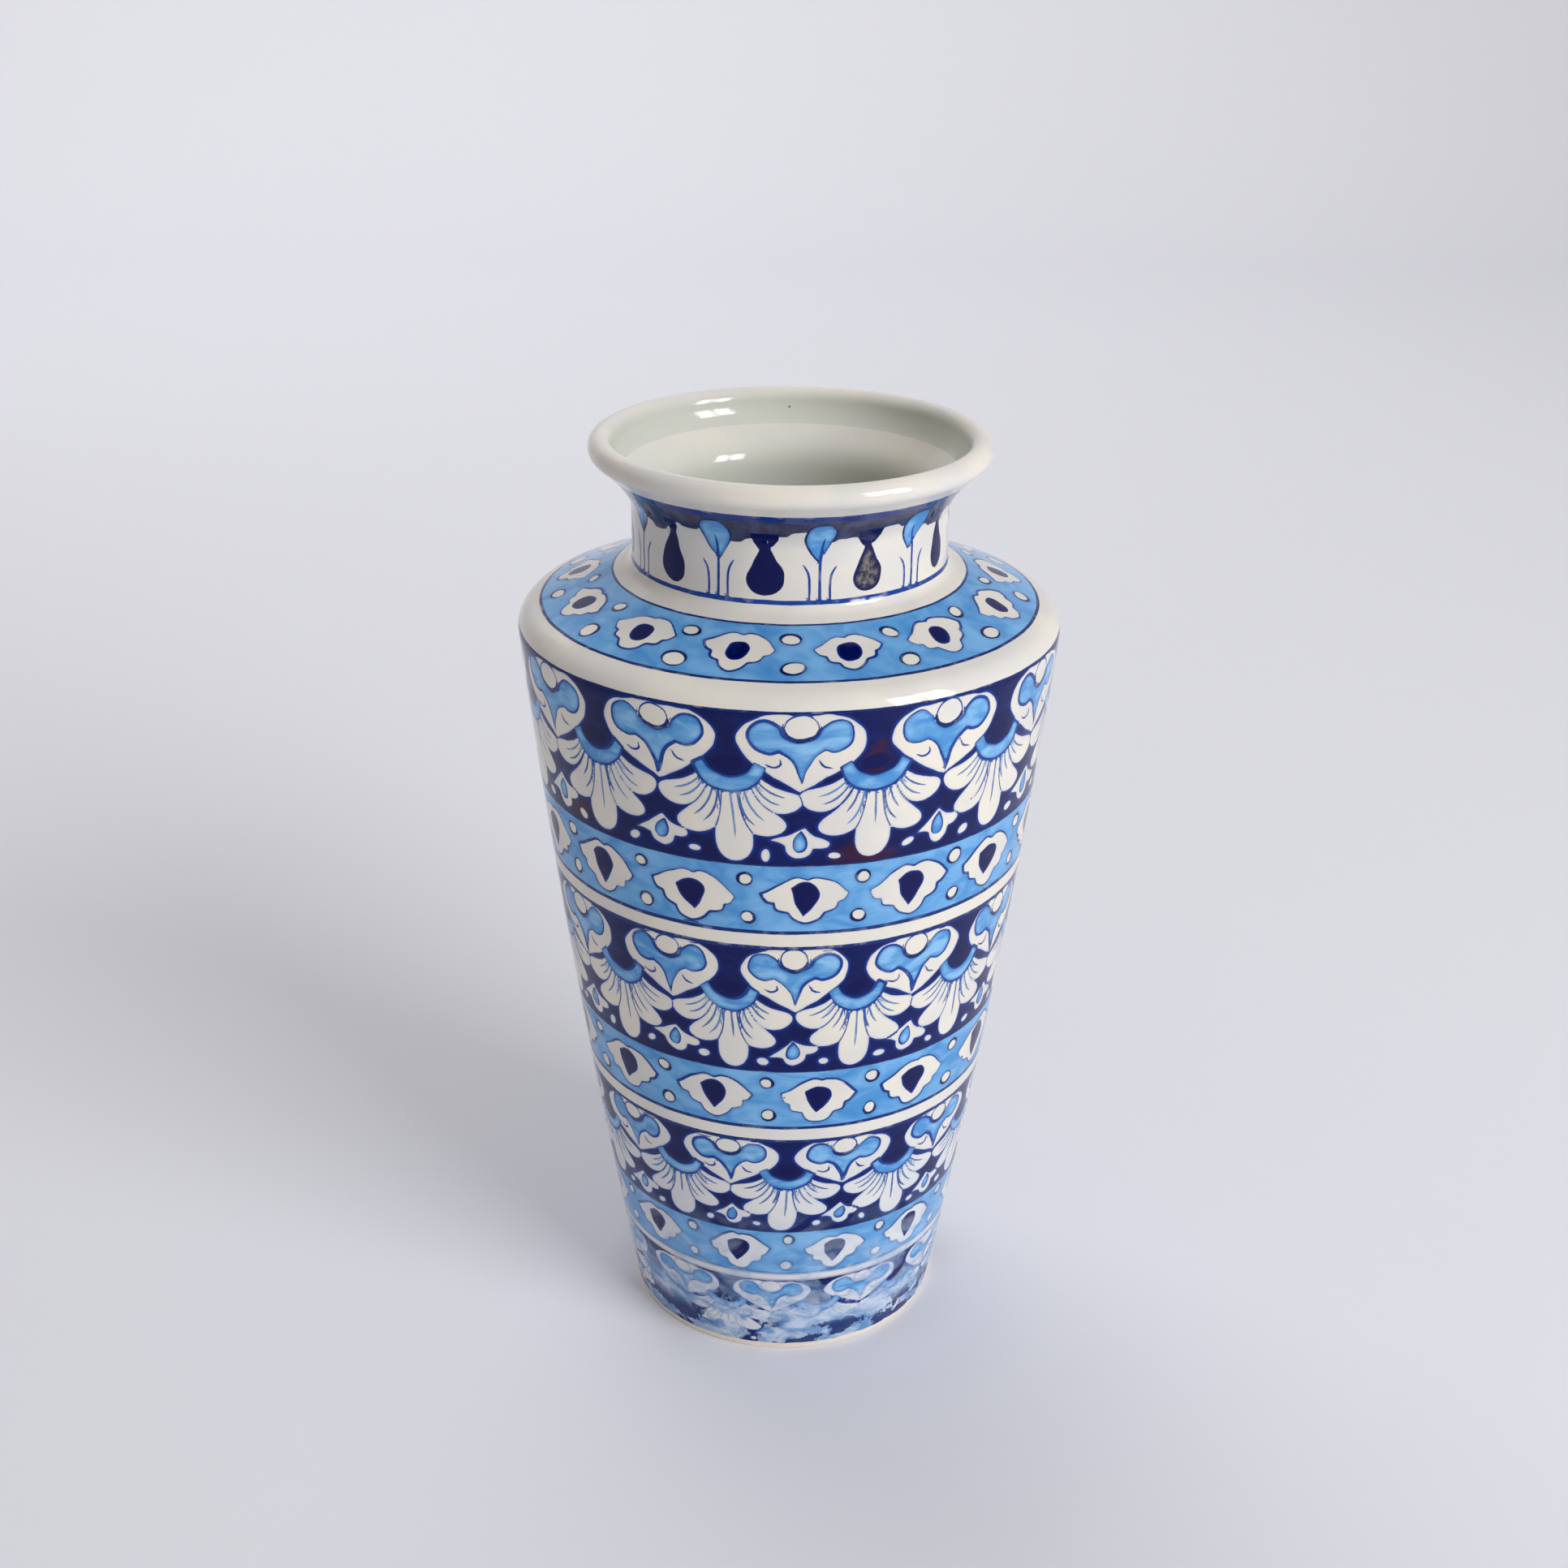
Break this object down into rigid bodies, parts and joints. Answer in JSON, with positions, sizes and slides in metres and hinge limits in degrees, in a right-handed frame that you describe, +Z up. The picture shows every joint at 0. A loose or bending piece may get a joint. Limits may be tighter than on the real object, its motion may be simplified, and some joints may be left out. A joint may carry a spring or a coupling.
{
  "type": "vase",
  "caption": "Turned tin-glazed earthenware vase: tapered body, rounded shoulder, short neck, rolled lip, foot ring.",
  "frame": {"origin": "centre of the foot ring's resting plane, on the vase's axis", "axes": "+Z up along the vase's axis; +X and +Y level; the side at -Y is the one painted as the front"},
  "size_m": [0.1958, 0.1958, 0.35],
  "materials": {
    "bare_clay": "unglazed fired earthenware, matt",
    "joining_slip": "fired slip, matt",
    "painted_glaze": "white tin glaze, brushed over in cobalt and light blue, glossy",
    "white_glaze": "white tin glaze, glossy"
  },
  "bodies": {
    "root": {"foot_ring": "bare_clay", "foot_slip": "joining_slip", "base_dish": "painted_glaze", "dish_slip": "joining_slip", "lower_wall": "painted_glaze", "wall_slip": "joining_slip", "upper_wall": "painted_glaze", "shoulder_slip": "joining_slip", "shoulder": "painted_glaze", "neck_slip": "joining_slip", "neck_collar": "white_glaze", "lip_slip": "joining_slip", "lip": "white_glaze"}
  },
  "joints": []
}
